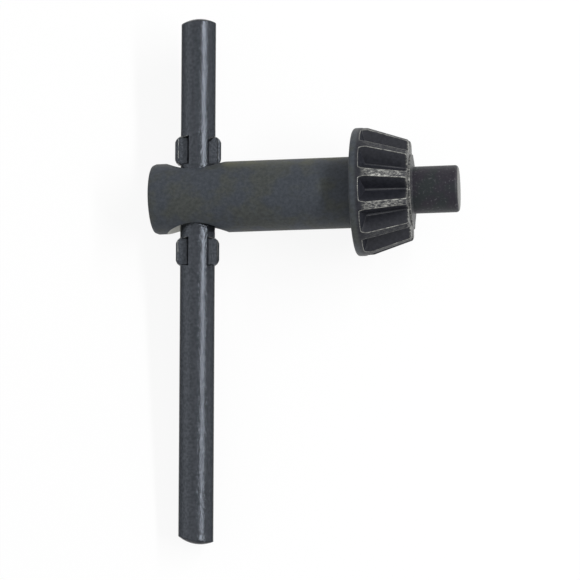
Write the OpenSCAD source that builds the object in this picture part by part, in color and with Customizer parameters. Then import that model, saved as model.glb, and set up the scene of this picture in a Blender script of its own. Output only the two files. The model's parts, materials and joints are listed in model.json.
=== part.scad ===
// Drill chuck key: a pinion with a pilot pin, in one piece with its round shank,
// and a bar that slides in the shank's cross hole between two pairs of staked ears.
// In the key's own axes X runs along the shank towards the pilot, Y runs along the
// bar towards its short arm, and both start at the middle of the cross hole.

/* [Shank] */
// Diameter of the shank
shank_d = 9.15; // [8.4:0.05:11]
// Length of the shank behind the middle of the cross hole
shank_back = 5.7; // [5.4:0.1:9]
// Length of the shank between the middle of the cross hole and the gear
shank_front = 20.6; // [12:0.1:40]
// Length of the taper at the back end
back_taper_len = 0.5; // [0.3:0.05:1]
// Depth of the taper at the back end
back_taper_depth = 0.2; // [0.1:0.05:0.6]
// Rounding where the taper meets the back face
back_edge_r = 0.15; // [0.05:0.05:0.3]
// Fillet where the shank meets the gear
neck_r = 0.5; // [0.2:0.1:1]

/* [Cross hole] */
// Free play of the bar across the hole
bar_play = 0.15; // [0.1:0.01:0.3]
// Share of the free play that the bar's lean takes up
lean_share = 0.8; // [0:0.1:0.9]
// Diameter of the countersink at the mouth of the hole
sink_d = 8; // [6.8:0.1:8.2]
// Angle across the countersink
sink_angle = 90; // [80:5:100]

/* [Gear] */
// Number of teeth
teeth = 12; // [8:1:16]
// Diameter of the gear's rim
gear_d = 16.4; // [14:0.2:24]
// Width of the full rim behind the gaps
rim_w = 1.1; // [0.8:0.1:3]
// Width of the strip at full diameter between the rim and the tapered tips
level_w = 0.9; // [0.05:0.05:1]
// Rounding of the rim's back edge
rim_edge_r = 0.4; // [0.1:0.05:0.5]
// Length of the tapered tips along the axis
tip_len = 5.15; // [4:0.05:8]
// Angle of the tips to the axis
tip_angle = 18.4; // [12:0.2:22]
// Rounding of the teeth at their small end
nose_edge_r = 0.4; // [0.1:0.05:0.6]
// Depth of the teeth at their big end
tooth_depth = 2; // [1.4:0.1:2.2]
// Width of a tooth's tip at its big end
tip_land = 1; // [0.6:0.1:1.4]
// Rounding at the root of a gap
root_r = 0.25; // [0.1:0.05:0.35]
// Bulge of a tooth's flank
flank_bulge = 0.05; // [0.01:0.01:0.1]
// Run of the sloping wall that ends a gap at the rim
wall_run = 0.8; // [0.4:0.1:1.4]
// Rounding of a gap's corners at the rim
gap_corner_r = 0.4; // [0.1:0.05:0.6]
// Turn of the first tooth away from the top
tooth_turn = -11; // [-30:1:30]

/* [Pilot] */
// Diameter of the pilot pin
pilot_d = 6; // [5:0.5:8]
// Length of the pilot pin
pilot_len = 5.85; // [4:0.05:12]
// Rounding of the pilot's end
pilot_edge_r = 0.45; // [0.2:0.05:0.8]
// Fillet at the foot of the pilot
pilot_foot_r = 0.2; // [0.1:0.05:0.5]
// Diameter of the ring round the foot of the pilot
ring_d = 9.1; // [9:0.1:9.4]
// Height of that ring
ring_h = 0.25; // [0.2:0.05:0.6]
// Rounding of that ring's edge
ring_edge_r = 0.1; // [0.05:0.05:0.15]

/* [Bar] */
// Diameter of the bar
bar_d = 4.5; // [4:0.1:4.8]
// Length of the bar from the middle of its ears to its short end
short_arm = 23.9; // [18:0.05:40]
// Length of the bar from the middle of its ears to its long end
long_arm = 44.1; // [36:0.05:60]
// Radius of the crowned ends
crown_r = 4.4; // [4:0.1:12]
// Offset of the crown's centre towards the gear, which slants the short end
short_crown_off = 0.2; // [0:0.05:1]
// Offset of the crown's centre at the long end
long_crown_off = 0.6; // [0:0.05:1]
// Turn of the bar about its own axis, which lowers its ears on the gear's side
bar_turn = 12; // [0:1:20]
// Distance that the bar has slid towards its long arm
bar_slide = 0.5; // [0:0.05:0.5]

/* [Staked ears] */
// Free length between the ears beyond the shank's diameter
ear_clear = 0.1; // [0:0.05:1]
// Length of an ear along the bar
ear_len = 3.85; // [3:0.05:5]
// Width across the pair of ears on the short arm
short_ear_span = 5.95; // [5.6:0.05:6.2]
// Width across the pair of ears on the long arm
long_ear_span = 5.6; // [5.5:0.05:6.2]
// Thickness of an ear
ear_t = 2.1; // [1.6:0.1:2.4]
// Rounding of an ear's corners
ear_corner_r = 1.2; // [0.5:0.1:1.4]
// Rounding of an ear's long edges
ear_edge_r = 0.3; // [0.1:0.05:0.6]
// Distance between the punch marks either side of the bar's middle
punch_gap = 2.8; // [2.4:0.1:3]
// Width of a punch mark
punch_w = 1.1; // [0.8:0.05:1.2]
// Length of a punch mark
punch_len = 3.3; // [2.4:0.1:3.6]
// Depth of a punch mark into the face of its ear
punch_sink = 0.12; // [0.05:0.01:0.2]
// Slope of a punch mark's walls
punch_draft = 12; // [2:1:20]
// Cut corner of the one mark made by a chipped punch
punch_chip = 0.55; // [0.3:0.05:0.8]

/* [Hidden] */
$fn = 96;
overlap = 0.3;
skim = 0.05;

shank_r = shank_d / 2;
rim_r = gear_d / 2;
pilot_r = pilot_d / 2;
ring_r = ring_d / 2;
bar_r = bar_d / 2;

// Stations along the key's axis
taper_x = back_taper_len - shank_back;
gear_x = shank_front;
gap_x = gear_x + rim_w;
tip_x = gap_x + level_w;
nose_x = tip_x + tip_len;
ring_x = nose_x + ring_h;
end_x = ring_x + pilot_len;

// Radii of the tapers' ends
face_r = shank_r - back_taper_depth;
nose_r = rim_r - tip_len * tan(tip_angle);

// Cross hole: its bore, and the straight stretch between the countersinks
bore_d = bar_d + bar_play;
sink_depth = (sink_d - bore_d) / 2 / tan(sink_angle / 2);
straight_len = shank_d - 2 * sink_depth;
lean = atan(lean_share * bar_play / straight_len);

// Teeth: tips and roots taper to one apex on the axis
apex_x = tip_x + rim_r / tan(tip_angle);
root_y = rim_r - tooth_depth;
gap_half_angle = 180 / teeth - asin(tip_land / gear_d);
gap_half_w = rim_r * sin(gap_half_angle);
flank_h = rim_r * cos(gap_half_angle) - root_y;
flank_angle = acos(root_r / norm([gap_half_w, flank_h - root_r])) - atan2(flank_h - root_r, gap_half_w);
foot = root_r * [cos(flank_angle), 1 - sin(flank_angle)];
gap_top = tooth_depth + 1;

// Ears: where each pair starts and ends along the bar
ear_in = (shank_d + ear_clear) / 2;
ear_out = ear_in + ear_len;
floor_z = ear_t / 2 - punch_sink;

// Rest on the floor: pitch about the shank's back end until the rim's rounded
// back edge touches, then roll until the long arm's end touches
rim_edge = [gear_x + rim_edge_r - taper_x, rim_r - rim_edge_r - shank_r];
pitch = atan2(rim_edge.y, rim_edge.x) + asin(rim_edge_r / norm(rim_edge));
axis_h = shank_r * cos(pitch) - taper_x * sin(pitch);
low_off = [long_crown_off * cos(bar_turn), long_crown_off * sin(bar_turn) - bar_r];
long_reach = long_arm + bar_slide - crown_r + sqrt(pow(crown_r, 2) - low_off * low_off);
drop = axis_h - long_reach * sin(lean) * sin(pitch);
slope = asin(drop / norm([long_reach * cos(lean), bar_r])) - atan2(bar_r, long_reach * cos(lean));
roll = asin(sin(slope) / cos(pitch));

// Middle of the key's footprint as it rests
far_x = (end_x - pilot_edge_r) * cos(pitch) + (pilot_r - pilot_edge_r) * sin(pitch) + pilot_edge_r;
taper_angle = atan2(back_taper_depth, back_taper_len);
face_flat_r = face_r - back_edge_r * tan(45 - taper_angle / 2);
near_x = (back_edge_r - shank_back) * cos(pitch) - face_flat_r * sin(pitch) - back_edge_r;
short_y = crown_y(short_arm - bar_slide - crown_r, short_crown_off) + crown_r;
long_y = crown_y(crown_r - long_arm - bar_slide, long_crown_off) - crown_r;
mid_x = (far_x + near_x) / 2;
mid_y = (short_y + long_y) / 2;

// Place across the floor of a crown's centre, which lies so far along the bar
function crown_y(along, off) =
    (along * cos(lean) - off * cos(bar_turn) * sin(lean)) * cos(roll) + off * sin(bar_turn) * sin(roll);

// Points of an arc that rounds corner b between its neighbours a and c
function fillet(a, b, c, r, steps = 5) =
    let (
        u = (a - b) / norm(a - b),
        v = (c - b) / norm(c - b),
        half = acos(u * v) / 2,
        centre = b + (u + v) / norm(u + v) * r / sin(half),
        from = b + u * r / tan(half) - centre,
        to = b + v * r / tan(half) - centre
    )
    [for (i = [0 : steps]) let (t = i / steps, sweep = 180 - 2 * half)
        centre + (from * sin((1 - t) * sweep) + to * sin(t * sweep)) / sin(sweep)];

// Closed outline from corners given as [x, y, rounding]
function rounded(corners) =
    let (n = len(corners), p = [for (c = corners) [c.x, c.y]])
    [for (i = [0 : n - 1]) each corners[i][2] > 0
        ? fillet(p[(i + n - 1) % n], p[i], p[(i + 1) % n], corners[i][2])
        : [p[i]]];

// Lays the key down as it comes to rest, with the floor at zero height
module at_rest() {
    translate([-mid_x, -mid_y, axis_h]) rotate([0, -pitch, 0]) rotate([roll, 0, 0]) children();
}

// The turned blank, before its hole and teeth are cut
module blank() {
    rotate([0, 90, 0]) rotate_extrude() polygon(rounded([
        [0, -shank_back, 0],
        [face_r, -shank_back, back_edge_r],
        [shank_r, taper_x, 0],
        [shank_r, gear_x, neck_r],
        [rim_r, gear_x, rim_edge_r],
        [rim_r, tip_x, 0],
        [nose_r, nose_x, nose_edge_r],
        [ring_r, nose_x, 0],
        [ring_r, ring_x, ring_edge_r],
        [pilot_r, ring_x, pilot_foot_r],
        [pilot_r, end_x, pilot_edge_r],
        [0, end_x, 0]
    ]));
}

module cross_hole() {
    rotate([90, 0, 0]) cylinder(d = bore_d, h = shank_d + 2 * overlap, center = true);
    for (side = [-1, 1])
        rotate([-90 * side, 0, 0]) translate([0, 0, straight_len / 2])
            cylinder(d1 = bore_d, d2 = bore_d + 2 * (sink_depth + overlap) * tan(sink_angle / 2),
                     h = sink_depth + overlap);
}

// One side of a gap between two teeth at their big end, as [half width, height
// above the root]: a rounded root, a bulging flank, and a stretch past the tips
gap_side = concat(
    [for (a = [0.3, 1] * (90 - flank_angle)) root_r * [sin(a), 1 - cos(a)]],
    [for (t = [0.37, 0.74, 1.1]) foot + t * ([gap_half_w, flank_h] - foot) - [4 * t * (1 - t) * flank_bulge, 0]],
    [[gap_half_w + (gap_top - flank_h) * tan(flank_angle), gap_top]]
);
gap_widths = [for (p = gap_side) [p.y, p.x]];

// Section of a gap at a station: it shrinks towards the apex, and near the rim
// its floor rises to the outside and its corners close in
function gap_section(x) =
    let (
        k = (apex_x - x) / (apex_x - tip_x),
        floor_h = max(0, tooth_depth * (1 - (x - gap_x) / wall_run)),
        into = min(gap_corner_r, max(0, x - gap_x)),
        inset = gap_corner_r - sqrt(pow(gap_corner_r, 2) - pow(gap_corner_r - into, 2)),
        side = [for (p = gap_side) let (h = floor_h + (gap_top - floor_h) * p.y / gap_top)
            [(lookup(h, gap_widths) - inset) * k, (root_y + h) * k]],
        n = len(side)
    )
    concat([for (p = side) [x, p.x, p.y]], [for (i = [n - 1 : -1 : 0]) [x, -side[i].x, side[i].y]]);

// Solid through a list of closed sections with the same number of points
module loft(sections) {
    n = len(sections[0]);
    last = len(sections) - 1;
    polyhedron(
        points = [for (s = sections) each s],
        faces = concat(
            [[for (i = [0 : n - 1]) i]],
            [for (s = [0 : last - 1], i = [0 : n - 1]) let (j = (i + 1) % n)
                each [[s * n + i, s * n + n + j, s * n + j], [s * n + i, s * n + n + i, s * n + n + j]]],
            [[for (i = [n - 1 : -1 : 0]) last * n + i]]
        ),
        convexity = 4
    );
}

module tooth_gap() {
    loft([for (x = concat(
        [for (t = [-0.1, 0.15, 0.45, 1]) gap_x + t * gap_corner_r],
        [gap_x + wall_run, nose_x + overlap / 2])) gap_section(x)]);
}

module key_body() {
    at_rest() color([0.23, 0.24, 0.25]) difference() {
        blank();
        cross_hole();
        for (i = [0 : teeth - 1]) rotate([tooth_turn + (i + 0.5) * 360 / teeth, 0, 0]) tooth_gap();
    }
}

// The round bar with its crowned, slanted ends
module plain_bar() {
    intersection() {
        translate([0, (short_arm - long_arm) / 2, 0]) rotate([90, 0, 0])
            cylinder(d = bar_d, h = short_arm + long_arm + 2 * overlap, center = true);
        union() {
            for (centre = [[short_crown_off, short_arm - crown_r, 0], [long_crown_off, crown_r - long_arm, 0]])
                translate(centre) sphere(r = crown_r);
            translate([0, short_arm - crown_r, 0]) rotate([90, 0, 0])
                cylinder(r = crown_r - long_crown_off, h = short_arm + long_arm - 2 * crown_r);
        }
    }
}

// Tip of a punch pressed into one side of the bar, with its walls widening upwards
module punch_tip(chip) {
    translate([(punch_gap + punch_w) / 2, (ear_in + ear_out) / 2, floor_z]) loft([
        for (h = [0, bar_r]) let (w = punch_w / 2 + h * tan(punch_draft), l = punch_len / 2 + h * tan(punch_draft))
            [[-w, -l, h], [w, -l, h], [w, l, h], [chip - w, l, h], [-w, l - chip, h]]
    ]);
}

// Metal squeezed out to both sides of the bar
module ear_pair(span) {
    intersection() {
        rotate([-90, 0, 0]) linear_extrude(height = ear_out + overlap) polygon(rounded([
            for (c = [[-1, -1], [1, -1], [1, 1], [-1, 1]]) [c.x * span / 2, c.y * ear_t / 2, ear_edge_r]
        ]));
        linear_extrude(height = bar_d, center = true) polygon(rounded([
            for (c = [[-1, ear_in], [1, ear_in], [1, ear_out], [-1, ear_out]])
                [c.x * (span / 2 + skim), c.y, ear_corner_r]
        ]));
    }
}

module handle_bar() {
    at_rest() rotate([0, 0, -lean]) translate([0, -bar_slide, 0]) rotate([0, bar_turn, 0])
    color([0.31, 0.32, 0.34]) difference() {
        union() {
            plain_bar();
            ear_pair(short_ear_span);
            mirror([0, 1, 0]) ear_pair(long_ear_span);
        }
        for (arm = [0, 1], side = [0, 1], face = [0, 1])
            mirror([0, arm, 0]) mirror([side, 0, 0]) mirror([0, 0, face])
                punch_tip(arm + side + face == 0 ? punch_chip : 0.01);
    }
}

key_body();
handle_bar();
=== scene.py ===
import json
import math

import bmesh
import bpy
from mathutils import Euler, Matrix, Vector


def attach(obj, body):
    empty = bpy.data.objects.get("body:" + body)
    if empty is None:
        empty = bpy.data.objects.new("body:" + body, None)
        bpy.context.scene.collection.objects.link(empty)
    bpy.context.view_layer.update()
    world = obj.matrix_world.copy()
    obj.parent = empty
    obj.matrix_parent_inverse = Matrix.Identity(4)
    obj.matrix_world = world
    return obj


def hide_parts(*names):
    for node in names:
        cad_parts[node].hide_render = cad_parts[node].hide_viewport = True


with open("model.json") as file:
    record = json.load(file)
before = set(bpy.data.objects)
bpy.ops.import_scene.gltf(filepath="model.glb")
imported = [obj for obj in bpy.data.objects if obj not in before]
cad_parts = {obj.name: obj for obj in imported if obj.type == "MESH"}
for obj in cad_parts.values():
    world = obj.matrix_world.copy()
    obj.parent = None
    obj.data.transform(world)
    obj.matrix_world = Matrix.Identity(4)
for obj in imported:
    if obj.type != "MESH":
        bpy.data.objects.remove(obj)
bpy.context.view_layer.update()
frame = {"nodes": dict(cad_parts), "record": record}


# Camera: almost straight above the key, eight degrees off towards the long end of
# the bar, with a long lens. Its place is the one that fits the photograph's outline.
MM = 0.001


def turned(x, y, z):
    """A turn by degrees about X, then Y, then Z."""
    return Euler([math.radians(angle) for angle in (x, y, z)])


camera_data = bpy.data.cameras.new("camera")
camera_data.lens = 124.14
camera_data.sensor_width = 36
camera_data.clip_start, camera_data.clip_end = 0.01, 5
camera = bpy.data.objects.new("camera", camera_data)
camera.location = Vector((1.79, -37.12, 260.10)) * MM
camera.rotation_euler = turned(7.932, 0.907, -0.441)
bpy.context.collection.objects.link(camera)
bpy.context.scene.camera = camera


# Key body: shank, gear and pilot, turned and cut from one piece of steel, then
# blackened. The shank is matt and mottled. The gear is nearly black, which is painted
# shade for its deep tooth gaps, and its tooth tips are worn bright, with a painted
# highlight added on the teeth facing up and down. The bar has rubbed one side of the
# countersinks bare, and that bare patch is partly a painted highlight.

# The key's own axes start in the middle of the cross hole, and X runs to the pilot.
# The pilot's mount gives their place and pitch. The roll is the one at which the
# bar's long end touches the floor.
pilot = next(mount for mount in frame["record"]["mounts"] if mount["name"] == "pilot")
axis = Vector(pilot["axis"])
pilot_middle = 30.8
crossing = Vector(pilot["pos_m"]) - axis * pilot_middle * MM
roll = 3.782
key_turn = turned(roll, -math.degrees(math.asin(axis.z)), 0)

# Where each part of the key starts or ends along X, in mm
gear_back, teeth_back, taper_back = 20.6, 21.7, 22.6
nose, pilot_foot, pilot_end = 27.75, 28.0, 33.85
rim_r = 8.2
tip_slope = math.tan(math.radians(18.4))

# Cross hole: its radius inside and at the mouth, and where the countersink starts
bore_r, mouth_r, sink_start = 2.325, 4.0, 2.9

# A CAD node's loose triangles are welded and its flat faces joined, and what is
# smaller than a sliver is merged. Then its sharp edges are broken by a set width.
weld, sliver, broken_width = 0.001 * MM, 0.04 * MM, 0.06 * MM
flat_angle, sharp_angle, crease_angle = [math.radians(angle) for angle in (1, 28, 35)]

bare_steel = (0.40, 0.40, 0.37, 1)
blue_dark, blue_pale = (0.030, 0.036, 0.044, 1), (0.048, 0.055, 0.067, 1)
green_dark, green_pale = (0.033, 0.037, 0.035, 1), (0.054, 0.059, 0.056, 1)
# A paler olive tint, laid in clouds along one side of the shank
olive_tint = (0.080, 0.082, 0.042, 1)
# The gear's two colours are its oxide darkened nearly to black: painted shade for the deep tooth gaps
gear_shade_dark, gear_shade_pale = (0.008, 0.009, 0.013, 1), (0.020, 0.021, 0.028, 1)
pilot_blue, pilot_violet = (0.012, 0.016, 0.018, 1), (0.015, 0.013, 0.020, 1)
speck_grey = (0.14, 0.14, 0.15, 1)


class Wire:
    """A node's output. Arithmetic on it adds the Math nodes that work it out."""

    def __init__(self, nodes, socket):
        self.nodes, self.socket = nodes, socket

    def __add__(self, other):
        return self.nodes.maths("ADD", self, other)

    def __sub__(self, other):
        return self.nodes.maths("SUBTRACT", self, other)

    def __rsub__(self, other):
        return self.nodes.maths("SUBTRACT", other, self)

    def __mul__(self, other):
        return self.nodes.maths("MULTIPLY", self, other)

    def __truediv__(self, other):
        return self.nodes.maths("DIVIDE", self, other)

    def __pow__(self, other):
        return self.nodes.maths("POWER", self, other)

    def __abs__(self):
        return self.nodes.maths("ABSOLUTE", self)

    def __or__(self, other):
        """The greater of the two."""
        return self.nodes.maths("MAXIMUM", self, other)

    __radd__, __rmul__ = __add__, __mul__

    def ramp(self, off, on):
        """0 at off, 1 at on and past it, and smooth between them. Off may be the higher."""
        settings = {"interpolation_type": "SMOOTHSTEP"}
        return self.nodes.add("ShaderNodeMapRange", settings, {0: self, 1: off, 2: on})


class Nodes:
    """A node tree, and the one way its nodes are added."""

    def __init__(self, tree):
        self.tree = tree

    def plug(self, node, sockets):
        """Gives a node's sockets, by name or number, their values or wires."""
        for key, value in sockets.items():
            if isinstance(value, Wire):
                self.tree.links.new(value.socket, node.inputs[key])
            else:
                node.inputs[key].default_value = value

    def add(self, kind, settings, sockets, output=0):
        """Adds a node, sets it up, plugs its sockets and gives one of its outputs."""
        node = self.tree.nodes.new(kind)
        for name, value in settings.items():
            setattr(node, name, value)
        self.plug(node, sockets)
        return Wire(self, node.outputs[output])

    def maths(self, operation, *values):
        return self.add("ShaderNodeMath", {"operation": operation}, dict(enumerate(values)))

    def seen(self):
        """1 for what the camera sees, itself or in metal or glass, and 0 for what
        only gives light."""
        camera_ray, glossy_ray, clear_ray = [
            self.add("ShaderNodeLightPath", {}, {}, output=f"Is {ray} Ray")
            for ray in ("Camera", "Glossy", "Transmission")]
        return camera_ray | glossy_ray | clear_ray


class Finish(Nodes):
    """A material read in millimetres along a piece's own axes."""

    def __init__(self, name, centre=(0, 0, 0), turn=(0, 0, 0)):
        self.material = bpy.data.materials.new(name)
        self.material.use_nodes = True
        super().__init__(self.material.node_tree)
        self.shader = self.tree.nodes["Principled BSDF"]
        in_scene = self.add("ShaderNodeTexCoord", {}, {}, output="Object")
        self.place = self.add(
            "ShaderNodeMapping", {"vector_type": "TEXTURE"},
            {"Vector": in_scene, "Location": centre, "Rotation": turn, "Scale": (MM, MM, MM)})
        self.x, self.y, self.z = [
            self.add("ShaderNodeSeparateXYZ", {}, {"Vector": self.place}, output=letter) for letter in "XYZ"]

    def noise(self, size, detail=2, rough=0.5, stretch=(1, 1, 1), at=(0, 0, 0)):
        """Noise from 0 to 1 with grains about size across, drawn out along stretch."""
        spot = self.add(
            "ShaderNodeMapping", {},
            {"Vector": self.place, "Location": at, "Scale": [1 / (size * s) for s in stretch]})
        return self.add(
            "ShaderNodeTexNoise", {}, {"Vector": spot, "Scale": 1.0, "Detail": detail, "Roughness": rough})

    def mix(self, share, first, second):
        """Colour first where share is 0, second where it is 1. The node has several
        sockets of one name, so they go by number."""
        return self.add("ShaderNodeMix", {"data_type": "RGBA"}, {0: share, 6: first, 7: second}, output=2)

    def worn(self):
        """1 on the faces of broken edges."""
        return self.add("ShaderNodeAttribute", {"attribute_name": "wear"}, {}, output="Fac")

    def finish(self, height, sockets):
        """Feeds the shader. Height is in millimetres and stands proud of the surface."""
        bump = self.add("ShaderNodeBump", {}, {"Strength": 1.0, "Distance": MM, "Height": height})
        self.plug(self.shader, {"Normal": bump, **sockets})


def edges_broken(name, node):
    """A copy of a CAD node whose sharp outer edges are broken, as tumbling leaves them.
    The attribute wear marks the faces of those edges."""
    bm = bmesh.new()
    bm.from_mesh(frame["nodes"][node].data)
    bmesh.ops.remove_doubles(bm, verts=bm.verts, dist=weld)
    bmesh.ops.dissolve_limit(bm, angle_limit=flat_angle, verts=bm.verts, edges=bm.edges)
    bmesh.ops.remove_doubles(bm, verts=bm.verts, dist=sliver)
    wear = bm.faces.layers.float.new("wear")
    sharp = [edge for edge in bm.edges if edge.calc_face_angle_signed(0) > sharp_angle]
    broken = bmesh.ops.bevel(
        bm, geom=sharp, offset=broken_width, offset_type="OFFSET", affect="EDGES",
        segments=2, profile=0.5, material=-1, clamp_overlap=False)
    for face in broken["faces"]:
        face[wear] = 1
    for face in bm.faces:
        face.smooth = True
    mesh = bpy.data.meshes.new(name)
    bm.to_mesh(mesh)
    bm.free()
    piece = bpy.data.objects.new(name, mesh)
    bpy.context.collection.objects.link(piece)
    mesh.set_sharp_from_angle(angle=crease_angle)
    piece.modifiers.new("even_shading", "WEIGHTED_NORMAL").keep_sharp = True
    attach(piece, "root")
    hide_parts(node)
    return piece


turned_key = edges_broken("turned_key", "key_body")

oxide = Finish("key_body_oxide", crossing, key_turn)
radius = (oxide.y ** 2 + oxide.z ** 2) ** 0.5
on_gear = oxide.x.ramp(gear_back - 0.2, gear_back + 0.1)
on_pilot = oxide.x.ramp(pilot_foot - 0.1, pilot_foot + 0.1)

# Colour of the shank's oxide: fine mottle, greener clouds, and a paler olive tint in
# clouds along the side of the short arm, between the countersink and the gear
mottle = oxide.noise(0.45, detail=4, rough=0.7)
clouds = oxide.noise(2.6, detail=3, at=(3, 1, 7))
greener = clouds.ramp(0.4, 0.65)
along_shank = oxide.x.ramp(mouth_r - 0.6, mouth_r + 0.4) * oxide.x.ramp(gear_back - 0.4, gear_back - 1.4)
olive_flank = oxide.y.ramp(3.0, 4.5) * along_shank
shank_colour = oxide.mix(
    mottle.ramp(0.3, 0.7),
    oxide.mix(greener, blue_dark, green_dark),
    oxide.mix(greener, blue_pale, green_pale))
shank_colour = oxide.mix(olive_flank * clouds.ramp(0.3, 0.8), shank_colour, olive_tint)

# Colour of the gear, nearly black: painted shade for its deep tooth gaps. Colour of the pilot, which took the
# black deeper
gear_colour_and_shade = oxide.mix(mottle.ramp(0.3, 0.75), gear_shade_dark, gear_shade_pale)
specks = oxide.noise(0.3, detail=3, rough=0.7, at=(9, 4, 2)).ramp(0.55, 0.85)
pilot_colour = oxide.mix(clouds.ramp(0.4, 0.6), pilot_blue, pilot_violet)
pilot_colour = oxide.mix(specks, pilot_colour, speck_grey)
front_colour = oxide.mix(on_pilot, gear_colour_and_shade, pilot_colour)
colour = oxide.mix(oxide.x.ramp(teeth_back - 0.5, teeth_back), shank_colour, front_colour)

# Wear on the tooth tips, most on the teeth at the top and the bottom. The extra on those teeth is partly a
# painted highlight, for the light on the upper lands
scuff = oxide.noise(0.2, detail=4, rough=0.75, stretch=(3, 1, 1))
above_tips = radius - (rim_r - ((oxide.x - taper_back) | 0) * tip_slope)
along_tips = oxide.x.ramp(taper_back - 0.6, taper_back) * oxide.x.ramp(nose - 0.15, nose - 0.75)
on_tip = above_tips.ramp(-0.10, -0.04) * along_tips
up_down_wear_and_highlight = (abs(oxide.z) / radius).ramp(0.78, 0.93) * 0.6 + 0.15
tip_wear_and_highlight = on_tip * up_down_wear_and_highlight * scuff.ramp(0.40, 0.72)

# Wear in broken lines along the outer edges of the gear and the pilot
outer = above_tips.ramp(-0.6, -0.2) | oxide.x.ramp(nose - 0.55, nose - 0.25)
past_rim = oxide.x.ramp(teeth_back - 0.5, teeth_back - 0.3)
in_patches = clouds.ramp(0.35, 0.55) * 0.5 + 0.5
edge_wear = oxide.worn() * outer * past_rim * (scuff.ramp(0.35, 0.6) * 0.5 + 0.15) * in_patches

# Wear on the gear's front face and the pilot's end, and in the countersinks on the
# side away from the gear, where the bar rubs. That bare patch faces the gear-side
# softbox, and is partly a painted highlight
nose_face = oxide.x.ramp(nose - 0.3, nose - 0.05) * (1 - on_pilot)
nose_wear = nose_face * (scuff.ramp(0.48, 0.6) * 0.6 + 0.05)
end_wear = oxide.x.ramp(pilot_end - 0.13, pilot_end - 0.03) * 0.35
from_hole = (oxide.x ** 2 + oxide.z ** 2) ** 0.5
from_cone = abs(from_hole - bore_r - (abs(oxide.y) - sink_start))
in_sink = from_cone.ramp(0.06, 0.02) * abs(oxide.y).ramp(sink_start, sink_start + 0.1)
sink_wear_and_highlight = in_sink * oxide.x.ramp(0, -1.5)

# Bare steel where worn, with painted highlight on the upper tooth tips and in the countersinks
bright = tip_wear_and_highlight | edge_wear | nose_wear | end_wear | sink_wear_and_highlight
grain = oxide.noise(0.13, detail=3, rough=0.7)
oxide.finish(grain * 0.012 + scuff * on_tip * 0.03, {
    "Base Color": oxide.mix(bright, colour, bare_steel),
    "Metallic": bright.ramp(0, 0.6) * 0.8,
    "Roughness": 0.5 - on_gear * 0.1 + grain * 0.12,
    "Specular IOR Level": 0.25,
})
turned_key.data.materials.append(oxide.material)


# Handle bar: drawn round steel, sheared to length and blackened to a satin finish.
# Four ears are punched out of it, a pair on each side of the shank, and keep it in.
bar_lean, bar_spin = turned(0, 0, -1.185), turned(0, 12, 0)
bar_turn = (key_turn.to_matrix() @ bar_lean.to_matrix() @ bar_spin.to_matrix()).to_euler()

# In mm: where the ears start across the bar and lie along it, and half the length
# of an ear and of the punch mark in it
ear_across, ear_along = 1.4, 6.6
half_ear, half_punch = 2.1, 1.55
bar_dark, bar_pale = (0.041, 0.046, 0.053, 1), (0.065, 0.071, 0.082, 1)
dark_tint = (0.3, 0.3, 0.3, 1)

staked_bar = edges_broken("staked_bar", "handle_bar")

satin = Finish("handle_bar_oxide", crossing, bar_turn)
from_ear = abs(abs(satin.y) - ear_along)
on_ear = abs(satin.x).ramp(ear_across - 0.1, ear_across + 0.1) * from_ear.ramp(half_ear + 0.1, half_ear - 0.1)
speckle = satin.noise(0.3, detail=3, rough=0.6)
drag = satin.noise(0.35, detail=3, stretch=(1, 4, 1))
burr = satin.worn() * from_ear.ramp(half_punch + 0.05, half_punch - 0.05) * on_ear
bar_colour = satin.mix(speckle.ramp(0.35, 0.65), bar_dark, bar_pale)
satin.finish(speckle * 0.075, {
    "Base Color": satin.mix(burr * drag.ramp(0.3, 0.5) * 0.4, bar_colour, bare_steel),
    "Metallic": 0.8,
    "Roughness": 0.04 + drag * 0.08 + on_ear * 0.25,
    "Specular IOR Level": 0.3,
    "Specular Tint": dark_tint,
})
staked_bar.data.materials.append(satin.material)


# Floor: pale card, nearly white to the camera and in the steel's reflections. What
# is left of its own shading keeps a faint soft shadow of the key.
card_colour = (0.95, 0.95, 0.95, 1)
white = (1, 1, 1, 1)
glow_share = 0.9

bm = bmesh.new()
bmesh.ops.create_grid(bm, x_segments=1, y_segments=1, size=0.6)
floor_mesh = bpy.data.meshes.new("floor")
bm.to_mesh(floor_mesh)
bm.free()
floor = bpy.data.objects.new("floor", floor_mesh)
bpy.context.collection.objects.link(floor)
card = Finish("floor_card")
card.plug(card.shader, {"Base Color": card_colour, "Roughness": 0.9})
shaded = Wire(card, card.shader.outputs[0])
glow = card.add("ShaderNodeEmission", {}, {"Color": white, "Strength": 1.0})
lit = card.add("ShaderNodeMixShader", {}, {0: card.seen() * glow_share, 1: shaded, 2: glow})
card.plug(card.tree.nodes["Material Output"], {"Surface": lit})
floor_mesh.materials.append(card.material)


# Light: a long narrow softbox on the gear's side, which draws the streak along the
# bar, a wide dim panel on the other side, and walls all round. The walls look white,
# and light the key with about half of that.
wall_light = 0.52


def softbox(name, place, aim, size, power):
    """An area light. Its first size lies along the bar, its second across it."""
    light = bpy.data.lights.new(name, "AREA")
    light.shape, light.energy = "RECTANGLE", power
    light.size, light.size_y = size
    lamp = bpy.data.objects.new(name, light)
    lamp.location = Vector(place)
    lamp.rotation_euler = (Vector(aim) - lamp.location).to_track_quat("-Z", "Y").to_euler()
    bpy.context.collection.objects.link(lamp)


softbox("gear_side_softbox", (0.28, 0.115, 0.33), (0, 0.115, 0), (0.49, 0.025), 1.7)
softbox("far_side_panel", (-0.40, 0.05, 0.16), (0, 0, 0), (0.40, 0.30), 0.15)
world = bpy.data.worlds.new("studio")
bpy.context.scene.world = world
world.use_nodes = True
walls = Nodes(world.node_tree)
strength = walls.seen() * (1 - wall_light) + wall_light
walls.plug(walls.tree.nodes["Background"], {"Color": white, "Strength": strength})
bpy.context.scene.view_settings.view_transform = "Standard"
